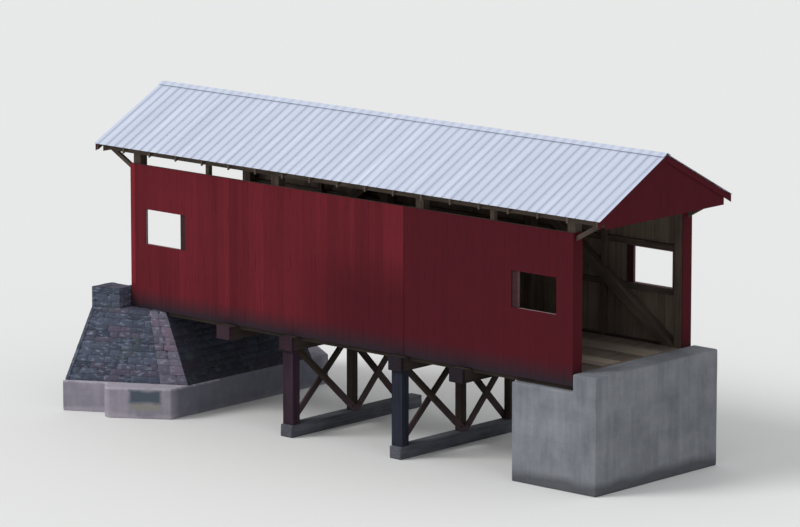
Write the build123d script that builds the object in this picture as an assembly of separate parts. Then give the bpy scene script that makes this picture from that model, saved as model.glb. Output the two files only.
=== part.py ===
from build123d import *
import math
import os

# A timber covered bridge of queenpost trusses, on one stone and one concrete abutment and two
# trestle bents. Millimetres. X runs along the bridge, Y across it, Z up from the stream.
# "west" is -X, "near" is -Y. Both long sides are alike, so most pieces are made once and mirrored.

os.makedirs("parts", exist_ok=True)

# Boarded side walls
WALL_HALF_LENGTH = 7490
WALL_HALF_WIDTH = 2285
BOARD = 25
SIDING_BOTTOM = 2610
SIDING_TOP = 6390

# Windows, one near each end of each side wall
WINDOW_FROM_END = 530
WINDOW_WIDTH = 1430
WINDOW_SILL = 4320
WINDOW_HEAD = 5240
STILE = 190

# Trusses
TIMBER = 250
CHORD_BOTTOM = 2500
CHORD_DEPTH = 400
GIRT_THICKNESS = 75
GIRT_DEPTH = 150
QUEEN_POST_X = 2450
MIDDLE_POST = 125
POST_FROM_WINDOW = 710
BRACE_TOE_FROM_END = 440
BRACE_HEAD_Z = 6150
HOUSING = 25
STRAINING_BEAM_BOTTOM = 6020

# Eave plates and the cross ties between them
PLATE_BOTTOM = 6630
PLATE_DEPTH = 250
TIE_WIDTH = 150
TIE_DEPTH = 200

# Roof
ROOF_OVERHANG = 1044
SHEET_COVER = 609.6
SHEET_THICKNESS = 3
RIB_HEIGHT = 19
RIB_HALF_WIDTH = 18
RIBS_PER_SHEET = 2
EAVE_HALF_WIDTH = 2563
EAVE_Z = 6830
RIDGE_Z = 8160
RIDGE_GAP = 40
CAP_LEG = 160
PURLIN_THICKNESS = 25
PURLIN_WIDTH = 100
PURLINS_PER_SLOPE = 5
RAFTER_DEPTH = 125
RAFTER_WIDTH = 50
RAFTER_BAYS = 18
RIDGE_BOARD = 30
RIDGE_BOARD_DEPTH = 190
TAIL_SETBACK = 23

# Gables at the roof's two ends
GABLE_SETBACK = 55
GABLE_DROP = 30
RAKE_DEPTH = 150

# Braces under the roof's overhang
KNEE_WIDTH = 90
KNEE_DEPTH = 100
KNEE_DROP = 140
KNEE_REACH = 680

# Floor
STRINGER_WIDTH = 150
STRINGER_DEPTH = 250
STRINGER_COUNT = 5
DECK_THICKNESS = 60
DECK_CLEARANCE = 15
DECK_OVERHANG = 360
RUNNER_THICKNESS = 50
RUNNER_INNER_Y = 430
RUNNER_OUTER_Y = 1180

# Cross beams, let into the chords' undersides
CROSS_BEAM_TOP = 2600
FLOOR_BEAM_X = 3960
FLOOR_BEAM_WIDTH = 450
FLOOR_BEAM_DEPTH = 350
FLOOR_BEAM_END = 260
BED_TIMBER_FROM_END = 440
BED_TIMBER_WIDTH = 300

# Trestle bents in the stream. Their near posts are heavier than the others.
WEST_BENT_X = -1800
EAST_BENT_X = 1910
BENT_POST = 200
FAR_POST_Y = 1900
NEAR_POST_WIDTH = 350
NEAR_POST_DEPTH = 250
NEAR_POST_INSET = 90
BENT_CAP_WIDTH = 440
BENT_CAP_DEPTH = 350
BENT_END = 225
BENT_SILL_HEIGHT = 320
BENT_SILL_WIDTH = 400
BRACE_PLANK_THICKNESS = 50
BRACE_PLANK_DEPTH = 180
PLANK_GAP = 6

# Stone abutment and its concrete footing at the west end
FOOTING_TOP = 800
WEST_FOOT_FROM_END = 2090
WEST_BATTER = 890
WEST_HEAD_Z = 2600
WEST_STEM_SETBACK = 85
REAR_PAST_END = 810
BACKWALL_GAP = 50
BACKWALL_TOP = 2950
WING_TOP = 3120
WING_FOOT_FRONT = 150
WING_FOOT_REAR = 1750
WING_HEAD_FRONT = 30
WING_HEAD_REAR = 730
FOOTING_FRONT_STEP = 20
FOOTING_CORNER_OUT = 800
FOOTING_BEND_BACK = 1470
FOOTING_BEND_OUT = 1770
FOOTING_END_BACK = 1850
FOOTING_ROUNDING = 200
PLINTH_OUT = 120

# Concrete abutment at the east end
EAST_FRONT_FROM_END = 1890
EAST_OUT = 65

# Derived levels and faces
siding_inner_y = WALL_HALF_WIDTH - BOARD
truss_outer_y = siding_inner_y - GIRT_THICKNESS
truss_inner_y = truss_outer_y - TIMBER
chord_top = CHORD_BOTTOM + CHORD_DEPTH
plate_top = PLATE_BOTTOM + PLATE_DEPTH
end_post_outer_x = WALL_HALF_LENGTH - BOARD
end_post_inner_x = end_post_outer_x - TIMBER
deck_bottom = CROSS_BEAM_TOP + STRINGER_DEPTH
deck_top = deck_bottom + DECK_THICKNESS
deck_half_width = truss_inner_y - DECK_CLEARANCE
backwall_front = WALL_HALF_LENGTH + BACKWALL_GAP
stem_half_width = WALL_HALF_WIDTH - WEST_STEM_SETBACK
east_half_width = WALL_HALF_WIDTH + EAST_OUT
beam_half_length = WALL_HALF_WIDTH + FLOOR_BEAM_END
bent_half_length = WALL_HALF_WIDTH + BENT_END
window_outer_x = WALL_HALF_LENGTH - WINDOW_FROM_END
window_inner_x = window_outer_x - WINDOW_WIDTH
middle_post_x = window_inner_x - POST_FROM_WINDOW
brace_toe_x = WALL_HALF_LENGTH - BRACE_TOE_FROM_END
bed_timber_x = WALL_HALF_LENGTH - BED_TIMBER_FROM_END
west_foot_x = WEST_FOOT_FROM_END - WALL_HALF_LENGTH
west_head_x = west_foot_x - WEST_BATTER
footing_bend_x = west_foot_x - FOOTING_BEND_BACK
footing_end_x = west_foot_x - FOOTING_END_BACK
east_front_x = WALL_HALF_LENGTH - EAST_FRONT_FROM_END
abutment_rear = WALL_HALF_LENGTH + REAR_PAST_END
roof_sheet_count = round(2 * (WALL_HALF_LENGTH + ROOF_OVERHANG) / SHEET_COVER)
roof_half_length = roof_sheet_count * SHEET_COVER / 2
gable_outer_x = roof_half_length - GABLE_SETBACK
gable_inner_x = gable_outer_x - BOARD
rake_outer_x = gable_outer_x + BOARD
pitch = math.atan2(RIDGE_Z - EAVE_Z, EAVE_HALF_WIDTH)
slope_length = EAVE_HALF_WIDTH / math.cos(pitch)


def save(name, *solids):
    """Writes one node, made of one or more solids that don't touch."""
    shape = solids[0] if len(solids) == 1 else Compound(children=list(solids))
    export_step(shape, f"parts/{name}.step")


def block(x, y, z):
    """A box between two values on each axis."""
    return Pos(x[0], y[0], z[0]) * Solid.make_box(x[1] - x[0], y[1] - y[0], z[1] - z[0])


def prism(points, direction):
    """A polygon pushed out along one direction."""
    return Solid.extrude(Face(Wire.make_polygon(points, close=True)), Vector(direction))


def far(solid):
    """The same piece on the far side."""
    return mirror(solid, about=Plane.XZ)


def east(solid):
    """The same piece at the other end."""
    return mirror(solid, about=Plane.YZ)


def cut(solid, *tools):
    """The solid less the tools, as a plain list of solids."""
    return (solid - list(tools)).solids()


def pair_sides(name, *solids):
    """Writes the near pieces and their mirror image as two nodes."""
    save(name + "_near", *solids)
    save(name + "_far", *[far(solid) for solid in solids])


def slanted(start, end, depth, y):
    """A timber whose axis runs between two points (x, z), squared off past both ends."""
    run = end[0] - start[0]
    rise = end[1] - start[1]
    length = math.hypot(run, rise)
    along = (run / length, rise / length)
    across = (-along[1] * depth / 2, along[0] * depth / 2)
    points = [
        (start[0] + across[0], y[0], start[1] + across[1]),
        (end[0] + across[0], y[0], end[1] + across[1]),
        (end[0] - across[0], y[0], end[1] - across[1]),
        (start[0] - across[0], y[0], start[1] - across[1]),
    ]
    return prism(points, (0, y[1] - y[0], 0))


# Concrete footing round the foot of the stone abutment: a broad apron towards the stream, with a
# rounded end, and a narrow plinth under the rear of each wing
def plinth_out(x):
    """How far the plinth stands out from the stem's side under the flared wing."""
    flare = (WING_FOOT_REAR - WING_FOOT_FRONT) / (abutment_rear + west_foot_x)
    return PLINTH_OUT + WING_FOOT_FRONT + flare * (west_foot_x - x)


footing_side = [
    (west_foot_x + FOOTING_FRONT_STEP, stem_half_width + FOOTING_CORNER_OUT),
    (footing_bend_x, stem_half_width + FOOTING_BEND_OUT),
    (footing_end_x, stem_half_width + plinth_out(footing_end_x)),
    (-abutment_rear, stem_half_width + plinth_out(-abutment_rear)),
]
footing_points = [(x, -y, 0) for x, y in footing_side]
footing_points += [(x, y, 0) for x, y in reversed(footing_side)]
footing = prism(footing_points, (0, 0, FOOTING_TOP))
apron_ends = []
for edge in footing.edges().filter_by(Axis.Z):
    if abs(edge.center().X - footing_bend_x) < 1:
        apron_ends.append(edge)
save("west_footing", footing.fillet(FOOTING_ROUNDING, apron_ends))


# Stone abutment: a battered stem with a seat for the chords and a backwall that holds the road
batter = (west_foot_x - west_head_x) / (WEST_HEAD_Z - FOOTING_TOP)
seat_front_x = west_foot_x - batter * (CHORD_BOTTOM - FOOTING_TOP)
stem_points = [
    (west_foot_x, -stem_half_width, FOOTING_TOP),
    (seat_front_x, -stem_half_width, CHORD_BOTTOM),
    (-backwall_front, -stem_half_width, CHORD_BOTTOM),
    (-backwall_front, -stem_half_width, BACKWALL_TOP),
    (-abutment_rear, -stem_half_width, BACKWALL_TOP),
    (-abutment_rear, -stem_half_width, FOOTING_TOP),
]
save("west_abutment", prism(stem_points, (0, 2 * stem_half_width, 0)))


def wing_outline(front_x, front_out, rear_out, z):
    """The wing's plan at one level, between the stem's side and its own flared face."""
    return Wire.make_polygon(
        [
            (front_x, -stem_half_width, z),
            (front_x, -stem_half_width - front_out, z),
            (-abutment_rear, -stem_half_width - rear_out, z),
            (-abutment_rear, -stem_half_width, z),
        ],
        close=True,
    )


def stone_wing():
    """A flared, battered wing that steps up to the road behind the bridge's end."""
    foot = wing_outline(west_foot_x, WING_FOOT_FRONT, WING_FOOT_REAR, FOOTING_TOP)
    head = wing_outline(west_head_x, WING_HEAD_FRONT, WING_HEAD_REAR, WEST_HEAD_Z)
    lower = Solid.make_loft([foot, head], ruled=True)
    flare = (WING_HEAD_REAR - WING_HEAD_FRONT) / (abutment_rear + west_head_x)
    step_out = WING_HEAD_FRONT + flare * (backwall_front + west_head_x)
    upper = prism(
        [
            (-backwall_front, -stem_half_width, WEST_HEAD_Z),
            (-backwall_front, -stem_half_width - step_out, WEST_HEAD_Z),
            (-abutment_rear, -stem_half_width - WING_HEAD_REAR, WEST_HEAD_Z),
            (-abutment_rear, -stem_half_width, WEST_HEAD_Z),
        ],
        (0, 0, WING_TOP - WEST_HEAD_Z),
    )
    return (lower + upper).solids()[0]


pair_sides("west_wing", stone_wing())


# Concrete abutment at the east end, with the same seat and backwall
east_points = [
    (east_front_x, -east_half_width, 0),
    (east_front_x, -east_half_width, CHORD_BOTTOM),
    (backwall_front, -east_half_width, CHORD_BOTTOM),
    (backwall_front, -east_half_width, BACKWALL_TOP),
    (abutment_rear, -east_half_width, BACKWALL_TOP),
    (abutment_rear, -east_half_width, 0),
]
save("east_abutment", prism(east_points, (0, 2 * east_half_width, 0)))


# Two trestle bents: sill, three posts, cap, and crossed planks on the two faces of each bay
cap_bottom = CROSS_BEAM_TOP - BENT_CAP_DEPTH
near_post_y = (NEAR_POST_INSET - bent_half_length, NEAR_POST_INSET - bent_half_length + NEAR_POST_DEPTH)
bent_sills = []
bent_caps = []
bent_posts = []
bent_planks = []


def centred(middle, width):
    """The two ends of a width about its middle."""
    return (middle - width / 2, middle + width / 2)


def bracing_plank(x, y_low, y_high, side):
    """One plank across a bay, cut off plumb at the middle post's centre line."""
    axis = (y_high - y_low, cap_bottom - BENT_SILL_HEIGHT)
    half = BRACE_PLANK_DEPTH / 2 / math.hypot(*axis) * axis[0]
    lift = BRACE_PLANK_DEPTH / 2 / math.hypot(*axis) * axis[1]
    plank = prism(
        [
            (x, y_low - lift, BENT_SILL_HEIGHT + half),
            (x, y_high - lift, cap_bottom + half),
            (x, y_high + lift, cap_bottom - half),
            (x, y_low + lift, BENT_SILL_HEIGHT - half),
        ],
        (BRACE_PLANK_THICKNESS, 0, 0),
    )
    if side > 0:
        bay = (PLANK_GAP / 2, bent_half_length)
    else:
        bay = (near_post_y[1], -PLANK_GAP / 2)
    reach = block((x, x + BRACE_PLANK_THICKNESS), bay, (BENT_SILL_HEIGHT, cap_bottom))
    return (plank & reach).solids()[0]


for bent_x in (WEST_BENT_X, EAST_BENT_X):
    cap_x = centred(bent_x, BENT_CAP_WIDTH)
    sill_x = centred(bent_x, BENT_SILL_WIDTH)
    post_x = centred(bent_x, BENT_POST)
    post_z = (BENT_SILL_HEIGHT, cap_bottom)
    length = (-bent_half_length, bent_half_length)
    bent_sills.append(block(sill_x, length, (0, BENT_SILL_HEIGHT)))
    bent_caps.append(block(cap_x, length, (cap_bottom, CROSS_BEAM_TOP)))
    bent_posts.append(block(centred(bent_x, NEAR_POST_WIDTH), near_post_y, post_z))
    for post_y in (0, FAR_POST_Y):
        bent_posts.append(block(post_x, centred(post_y, BENT_POST), post_z))
    west_face = post_x[0] - BRACE_PLANK_THICKNESS
    east_face = post_x[1]
    for outer_y, side in ((near_post_y[1], -1), (FAR_POST_Y, 1)):
        bent_planks.append(bracing_plank(west_face, outer_y, 0, side))
        bent_planks.append(bracing_plank(east_face, 0, outer_y, side))
save("bent_sills", *bent_sills)
save("bent_posts", *bent_posts)
save("bent_caps", *bent_caps)
save("bent_bracing_planks", *bent_planks)


# Heavy floor beams under the chords, ends proud of the siding
floor_beams = []
for beam_x in (-FLOOR_BEAM_X, FLOOR_BEAM_X):
    beam_z = (CROSS_BEAM_TOP - FLOOR_BEAM_DEPTH, CROSS_BEAM_TOP)
    beam_range = centred(beam_x, FLOOR_BEAM_WIDTH)
    floor_beams.append(block(beam_range, (-beam_half_length, beam_half_length), beam_z))
save("floor_beams", *floor_beams)


# Bed timbers on the abutments' seats, between the chords, for the stringers' ends
bed_timber = block(
    centred(bed_timber_x, BED_TIMBER_WIDTH),
    (-truss_inner_y, truss_inner_y),
    (CHORD_BOTTOM, CROSS_BEAM_TOP),
)
save("bed_timbers", bed_timber, east(bed_timber))


# Stringers, deck and the two wheel tracks on it
floor_length = (-WALL_HALF_LENGTH, WALL_HALF_LENGTH)
stringers = []
outer_stringer_y = deck_half_width - DECK_OVERHANG
for index in range(STRINGER_COUNT):
    stringer_y = outer_stringer_y * (2 * index / (STRINGER_COUNT - 1) - 1)
    stringer_range = centred(stringer_y, STRINGER_WIDTH)
    stringers.append(block(floor_length, stringer_range, (CROSS_BEAM_TOP, deck_bottom)))
save("stringers", *stringers)
save("deck", block(floor_length, (-deck_half_width, deck_half_width), (deck_bottom, deck_top)))
runner = block(
    floor_length,
    (-RUNNER_OUTER_Y, -RUNNER_INNER_Y),
    (deck_top, deck_top + RUNNER_THICKNESS),
)
save("runner_planks", runner, far(runner))


# Queenpost truss, near side. The long braces are let into the chord and the queen posts, and
# the chord is notched down over the cross beams.
truss_y = (-truss_outer_y, -truss_inner_y)
chord = block(floor_length, truss_y, (CHORD_BOTTOM, chord_top))
plate = block((-gable_inner_x, gable_inner_x), truss_y, (PLATE_BOTTOM, plate_top))
queen_outer_x = QUEEN_POST_X + TIMBER / 2
queen_inner_x = QUEEN_POST_X - TIMBER / 2


def long_brace():
    """The east half's brace, from the chord's end up to the queen post."""
    toe = (brace_toe_x, chord_top)
    head = (queen_outer_x, BRACE_HEAD_Z)
    run = toe[0] - head[0]
    rise = head[1] - toe[1]
    past = TIMBER / run
    lower = (toe[0] + run * past, toe[1] - rise * past)
    upper = (head[0] - run * past, head[1] + rise * past)
    reach = block(
        (queen_outer_x - HOUSING, end_post_inner_x),
        truss_y,
        (chord_top - HOUSING, PLATE_BOTTOM),
    )
    return (slanted(lower, upper, TIMBER, truss_y) & reach).solids()[0]


brace = long_brace()
straining_beam = block(
    (-queen_inner_x - HOUSING, queen_inner_x + HOUSING),
    truss_y,
    (STRAINING_BEAM_BOTTOM, STRAINING_BEAM_BOTTOM + TIMBER),
)
post_z = (chord_top, PLATE_BOTTOM)
middle_post_y = (-truss_outer_y, MIDDLE_POST - truss_outer_y)
end_post = block((end_post_inner_x, end_post_outer_x), truss_y, post_z)
middle_post = block(centred(middle_post_x, MIDDLE_POST), middle_post_y, post_z)
queen_post = block((queen_inner_x, queen_outer_x), truss_y, post_z)
east_posts = [end_post, *cut(middle_post, brace), *cut(queen_post, brace, straining_beam)]
chord = cut(chord, brace, east(brace), *bent_caps, *floor_beams)[0]
pair_sides("bottom_chord", chord)
pair_sides("truss_posts", *east_posts, *[east(post) for post in east_posts])
pair_sides("truss_braces", brace, east(brace))
pair_sides("straining_beam", straining_beam)
pair_sides("eave_plate", plate)


# Horizontal girts on the truss's outer face, which the boards are nailed to
girt_y = (-siding_inner_y, -truss_outer_y)
girt_bottoms = (
    chord_top - GIRT_DEPTH,
    WINDOW_SILL - BOARD - GIRT_DEPTH,
    WINDOW_HEAD + BOARD,
    SIDING_TOP - GIRT_DEPTH,
)
girts = []
for bottom in girt_bottoms:
    girts.append(block((-end_post_outer_x, end_post_outer_x), girt_y, (bottom, bottom + GIRT_DEPTH)))
pair_sides("girts", *girts)


# Boarded side wall with two windows cut through, and the boards that line them. The stile on
# the side nearer midspan is wide, so that it shows inside the opening.
wall_y = (-WALL_HALF_WIDTH, -siding_inner_y)
window_x = (window_inner_x, window_outer_x)
window_z = (WINDOW_SILL, WINDOW_HEAD)
window_hole = block(window_x, (-WALL_HALF_WIDTH, -truss_outer_y), window_z)
siding = block((-WALL_HALF_LENGTH, WALL_HALF_LENGTH), wall_y, (SIDING_BOTTOM, SIDING_TOP))
pair_sides("siding", cut(siding, window_hole, east(window_hole))[0])
lining_outer = block(
    (window_inner_x - BOARD, window_outer_x + BOARD),
    girt_y,
    (WINDOW_SILL - BOARD, WINDOW_HEAD + BOARD),
)
lining_hole = block((window_inner_x + STILE, window_outer_x), girt_y, window_z)
lining = cut(lining_outer, lining_hole)[0]
pair_sides("window_linings", lining, east(lining))


# Boards over the end posts at both portals
jamb_boards = []
portal_x = (end_post_outer_x, WALL_HALF_LENGTH)
for jamb_y in ((-siding_inner_y, -truss_inner_y), (truss_inner_y, siding_inner_y)):
    jamb = block(portal_x, jamb_y, (chord_top, SIDING_TOP))
    jamb_boards += [jamb, east(jamb)]
save("portal_jamb_boards", *jamb_boards)


# Cross ties between the plates
tie_bottom = PLATE_BOTTOM + (PLATE_DEPTH - TIE_DEPTH) / 2
tie_z = (tie_bottom, tie_bottom + TIE_DEPTH)
end_tie_x = (end_post_inner_x + end_post_outer_x) / 2
ties = [block(centred(0, TIE_WIDTH), (-truss_inner_y, truss_inner_y), tie_z)]
for tie_x in (QUEEN_POST_X, middle_post_x, end_tie_x):
    tie = block(centred(tie_x, TIE_WIDTH), (-truss_inner_y, truss_inner_y), tie_z)
    ties += [tie, east(tie)]
save("cross_ties", *ties)


def on_slope(x, along, above):
    """A point on the near slope: distance up from the eave, and height square to the sheet's top."""
    y = -EAVE_HALF_WIDTH + along * math.cos(pitch) - above * math.sin(pitch)
    z = EAVE_Z + along * math.sin(pitch) + above * math.cos(pitch)
    return (x, y, z)


def slope_board(x, along, above):
    """A straight piece lying in the near slope."""
    points = [
        on_slope(x[0], along[0], above[0]),
        on_slope(x[0], along[1], above[0]),
        on_slope(x[0], along[1], above[1]),
        on_slope(x[0], along[0], above[1]),
    ]
    return prism(points, (x[1] - x[0], 0, 0))


# Ribbed steel roof sheets: a V rib at each edge and middle of every sheet, run from eave to ridge
def sheet_edge(above):
    """The sheet's section seen from the eave, ribs and flats, at one height."""
    points = [(-roof_half_length, above)]
    spacing = SHEET_COVER / RIBS_PER_SHEET
    for index in range(roof_sheet_count * RIBS_PER_SHEET):
        middle = -roof_half_length + spacing * (index + 0.5)
        points.append((middle - RIB_HALF_WIDTH, above))
        points.append((middle, above + RIB_HEIGHT))
        points.append((middle + RIB_HALF_WIDTH, above))
    points.append((roof_half_length, above))
    return points


def roof_sheet():
    """All sheets of the near slope as one."""
    outline = sheet_edge(0) + list(reversed(sheet_edge(-SHEET_THICKNESS)))
    points = [on_slope(x, 0, above) for x, above in outline]
    length = slope_length - RIDGE_GAP
    return prism(points, (0, length * math.cos(pitch), length * math.sin(pitch)))


pair_sides("roof_sheets", roof_sheet())


# Ridge cap folded over the ribs
def cap_point(side, along, above):
    """A point of the cap's section, on the near or the far slope."""
    x, y, z = on_slope(-roof_half_length, along, above)
    return (x, side * -y, z)


cap_under = RIB_HEIGHT
cap_over = RIB_HEIGHT + SHEET_THICKNESS
cap_edge = slope_length - CAP_LEG
cap_points = [
    cap_point(-1, cap_edge, cap_under),
    cap_point(-1, cap_edge, cap_over),
    (-roof_half_length, 0, RIDGE_Z + cap_over / math.cos(pitch)),
    cap_point(1, cap_edge, cap_over),
    cap_point(1, cap_edge, cap_under),
    (-roof_half_length, 0, RIDGE_Z + cap_under / math.cos(pitch)),
]
save("ridge_cap", prism(cap_points, (2 * roof_half_length, 0, 0)))


# Purlins across the rafters
purlin_top = -SHEET_THICKNESS
purlin_bottom = purlin_top - PURLIN_THICKNESS
purlin_x = (-rake_outer_x, rake_outer_x)
purlins = []
last_purlin = slope_length - RIDGE_GAP - PURLIN_WIDTH
for index in range(PURLINS_PER_SLOPE):
    start = 15 + (last_purlin - 15) * index / (PURLINS_PER_SLOPE - 1)
    purlins.append(slope_board(purlin_x, (start, start + PURLIN_WIDTH), (purlin_bottom, purlin_top)))
pair_sides("purlins", *purlins)


# Rafters, notched over the plate, and the ridge board between their heads
rafter_bottom = purlin_bottom - RAFTER_DEPTH
rafter_reach = block(
    (-roof_half_length, roof_half_length),
    (-EAVE_HALF_WIDTH + TAIL_SETBACK, -RIDGE_BOARD / 2),
    (0, 2 * RIDGE_Z),
)
rafters = []
rafter_end = gable_inner_x - RAFTER_WIDTH
for index in range(RAFTER_BAYS + 1):
    start = -gable_inner_x + (gable_inner_x + rafter_end) * index / RAFTER_BAYS
    rafter = slope_board(
        (start, start + RAFTER_WIDTH),
        (-RAFTER_DEPTH, slope_length + RAFTER_DEPTH),
        (rafter_bottom, purlin_bottom),
    )
    rafters += cut(rafter & rafter_reach, plate)
pair_sides("rafters", *rafters)
ridge_board_top = RIDGE_Z + purlin_bottom / math.cos(pitch) - RIDGE_BOARD / 2 * math.tan(pitch)
save(
    "ridge_board",
    block(
        (-gable_inner_x, gable_inner_x),
        (-RIDGE_BOARD / 2, RIDGE_BOARD / 2),
        (ridge_board_top - RIDGE_BOARD_DEPTH, ridge_board_top),
    ),
)


# Boarded gables hung on the plates' ends, and the rake boards over their edges
gable_peak = RIDGE_Z + purlin_bottom / math.cos(pitch)
gable_shoulder = gable_peak - WALL_HALF_WIDTH * math.tan(pitch)
gable_bottom = PLATE_BOTTOM - GABLE_DROP
gable_points = [
    (gable_inner_x, -WALL_HALF_WIDTH, gable_bottom),
    (gable_inner_x, -WALL_HALF_WIDTH, gable_shoulder),
    (gable_inner_x, 0, gable_peak),
    (gable_inner_x, WALL_HALF_WIDTH, gable_shoulder),
    (gable_inner_x, WALL_HALF_WIDTH, gable_bottom),
]
gable = prism(gable_points, (BOARD, 0, 0))
save("gable_east", gable)
save("gable_west", east(gable))
rake_reach = block(
    (gable_outer_x, rake_outer_x),
    (-EAVE_HALF_WIDTH + TAIL_SETBACK, -PLANK_GAP / 2),
    (0, 2 * RIDGE_Z),
)
rake = slope_board(
    (gable_outer_x, rake_outer_x),
    (-RAKE_DEPTH, slope_length + RAKE_DEPTH),
    (purlin_bottom - RAKE_DEPTH, purlin_bottom),
)
rake = (rake & rake_reach).solids()[0]
save("rake_boards", rake, far(rake), east(rake), far(east(rake)))


# Knee braces from the end posts out to the overhanging plates
def knee_brace():
    """The near east brace, cut plumb on the end boards and level under the plate."""
    knee_y = (-truss_outer_y, -truss_outer_y + KNEE_WIDTH)
    foot = (WALL_HALF_LENGTH, SIDING_TOP - KNEE_DROP)
    head = (WALL_HALF_LENGTH + KNEE_REACH, PLATE_BOTTOM)
    run = head[0] - foot[0]
    rise = head[1] - foot[1]
    past = KNEE_DEPTH / run
    lower = (foot[0] - run * past, foot[1] - rise * past)
    upper = (head[0] + run * past, head[1] + rise * past)
    reach = block((WALL_HALF_LENGTH, gable_inner_x), knee_y, (0, PLATE_BOTTOM))
    return (slanted(lower, upper, KNEE_DEPTH, knee_y) & reach).solids()[0]


knee = knee_brace()
save("overhang_braces", knee, far(knee), east(knee), far(east(knee)))
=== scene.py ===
import math

import bmesh
import bpy
from mathutils import Matrix, Vector, noise


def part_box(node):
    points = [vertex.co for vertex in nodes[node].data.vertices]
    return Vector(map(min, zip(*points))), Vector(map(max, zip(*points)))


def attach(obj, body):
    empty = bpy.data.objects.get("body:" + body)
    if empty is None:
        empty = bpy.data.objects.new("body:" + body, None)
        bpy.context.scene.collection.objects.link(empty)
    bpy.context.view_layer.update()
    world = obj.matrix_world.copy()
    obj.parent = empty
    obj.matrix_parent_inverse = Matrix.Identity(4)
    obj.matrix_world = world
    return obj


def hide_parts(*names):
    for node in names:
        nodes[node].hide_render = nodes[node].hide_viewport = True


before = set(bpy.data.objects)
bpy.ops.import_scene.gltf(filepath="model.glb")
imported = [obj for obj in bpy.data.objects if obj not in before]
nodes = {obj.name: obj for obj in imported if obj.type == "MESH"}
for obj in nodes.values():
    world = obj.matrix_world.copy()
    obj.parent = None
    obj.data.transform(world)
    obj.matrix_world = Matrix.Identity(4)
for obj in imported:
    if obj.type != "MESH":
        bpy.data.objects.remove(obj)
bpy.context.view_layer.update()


# Concrete footing. A broad apron poured between boards round the foot of the old stonework, to keep
# the stream from washing it out. Its arrises are worn round, and water has stained it.
FOOTING_DARK = "#7d7984"
FOOTING_PALE = "#9b94a0"
FOOTING_CRUST = "#b2aab4"
CRUST_TOP = 0.06
# Patches of another colour: the low and the high corner, the colour, and how soft the edge is
# The first patch is painted shade: the front under the bridge is coloured darker for the shade it stands in
SHADED_FRONT = ((-5.75, -2.75, 0.0), (-5.3, 2.75, 0.8), "#4b505d", 0.25)
PALE_EDGE = ((-8.4, -4.2, 0.77), (-5.3, -1.2, 0.9), "#aaa4af", 0.03)
SEEP_RIM = ((-6.30, -3.62, 0.24), (-5.62, -3.05, 0.42), "#86837f", 0.05)
SEEP_STAIN = ((-6.30, -3.62, 0.42), (-5.62, -3.05, 0.74), "#4a545e", 0.05)
FORM_BOARD = 0.20
FOOTING_VOXEL = 0.04
FOOTING_WEAR = 0.014
FOOTING_HOLLOWS = 2.5
# The two kinds of node that most patterns and shapes are worked out with
MATH = "ShaderNodeMath"
VECTOR_MATH = "ShaderNodeVectorMath"


def linear(hex_colour):
    """An sRGB hex colour as the linear RGBA that Blender wants."""
    channels = [int(hex_colour[i : i + 2], 16) / 255 for i in (1, 3, 5)]
    return (*[c / 12.92 if c <= 0.04045 else ((c + 0.055) / 1.055) ** 2.4 for c in channels], 1.0)


def add(tree, kind, inputs=(), operation=None, **settings):
    """Adds a node. Its inputs are named or in order, and each is a value, a socket, or a node for
    its first output. The operation is the sum that a maths node does."""
    node = tree.nodes.new(kind)
    if operation:
        node.operation = operation
    for name, value in settings.items():
        setattr(node, name, value)
    for name, value in inputs.items() if isinstance(inputs, dict) else enumerate(inputs):
        if isinstance(value, bpy.types.Node):
            value = next(socket for socket in value.outputs if socket.enabled)
        if isinstance(value, bpy.types.NodeSocket):
            tree.links.new(value, node.inputs[name])
        else:
            node.inputs[name].default_value = value
    return node


def new_material(name):
    """A new material, its empty tree, and the place in the object that patterns are drawn by."""
    material = bpy.data.materials.new(name)
    material.use_nodes = True
    tree = material.node_tree
    tree.nodes.clear()
    return material, tree, add(tree, "ShaderNodeTexCoord").outputs["Object"]


def surface(tree, tone, roughness, specular, relief=None, strength=0.0, depth=0.0, metallic=0.0):
    """Ends a material: its tone and gloss, and a relief of some depth in metres."""
    look = {"Base Color": tone, "Roughness": roughness, "Specular IOR Level": specular, "Metallic": metallic}
    if relief is not None:
        bump = {"Height": relief, "Strength": strength, "Distance": depth}
        look["Normal"] = add(tree, "ShaderNodeBump", bump)
    add(tree, "ShaderNodeOutputMaterial", {"Surface": add(tree, "ShaderNodeBsdfPrincipled", look)})


def drawn_out(tree, place, per_metre, detail, **more):
    """Noise drawn out along an axis, by how many of its lumps go to a metre in X, Y and Z."""
    stretched = add(tree, "ShaderNodeMapping", {"Vector": place, "Scale": per_metre})
    return add(tree, "ShaderNodeTexNoise", {"Vector": stretched, "Scale": 1.0, "Detail": detail, **more})


def blend(tree, tone, other, value, start, end, share=1.0, **settings):
    """A tone going over to another, or to a share of it, as a value runs from start to end."""
    span = {"Value": value, "From Min": start, "From Max": end, "To Max": share}
    factor = add(tree, "ShaderNodeMapRange", span, **settings)
    tone, other = [linear(colour) if isinstance(colour, str) else colour for colour in (tone, other)]
    return add(tree, "ShaderNodeMix", {"Factor": factor, "A": tone, "B": other}, data_type="RGBA")


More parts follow.
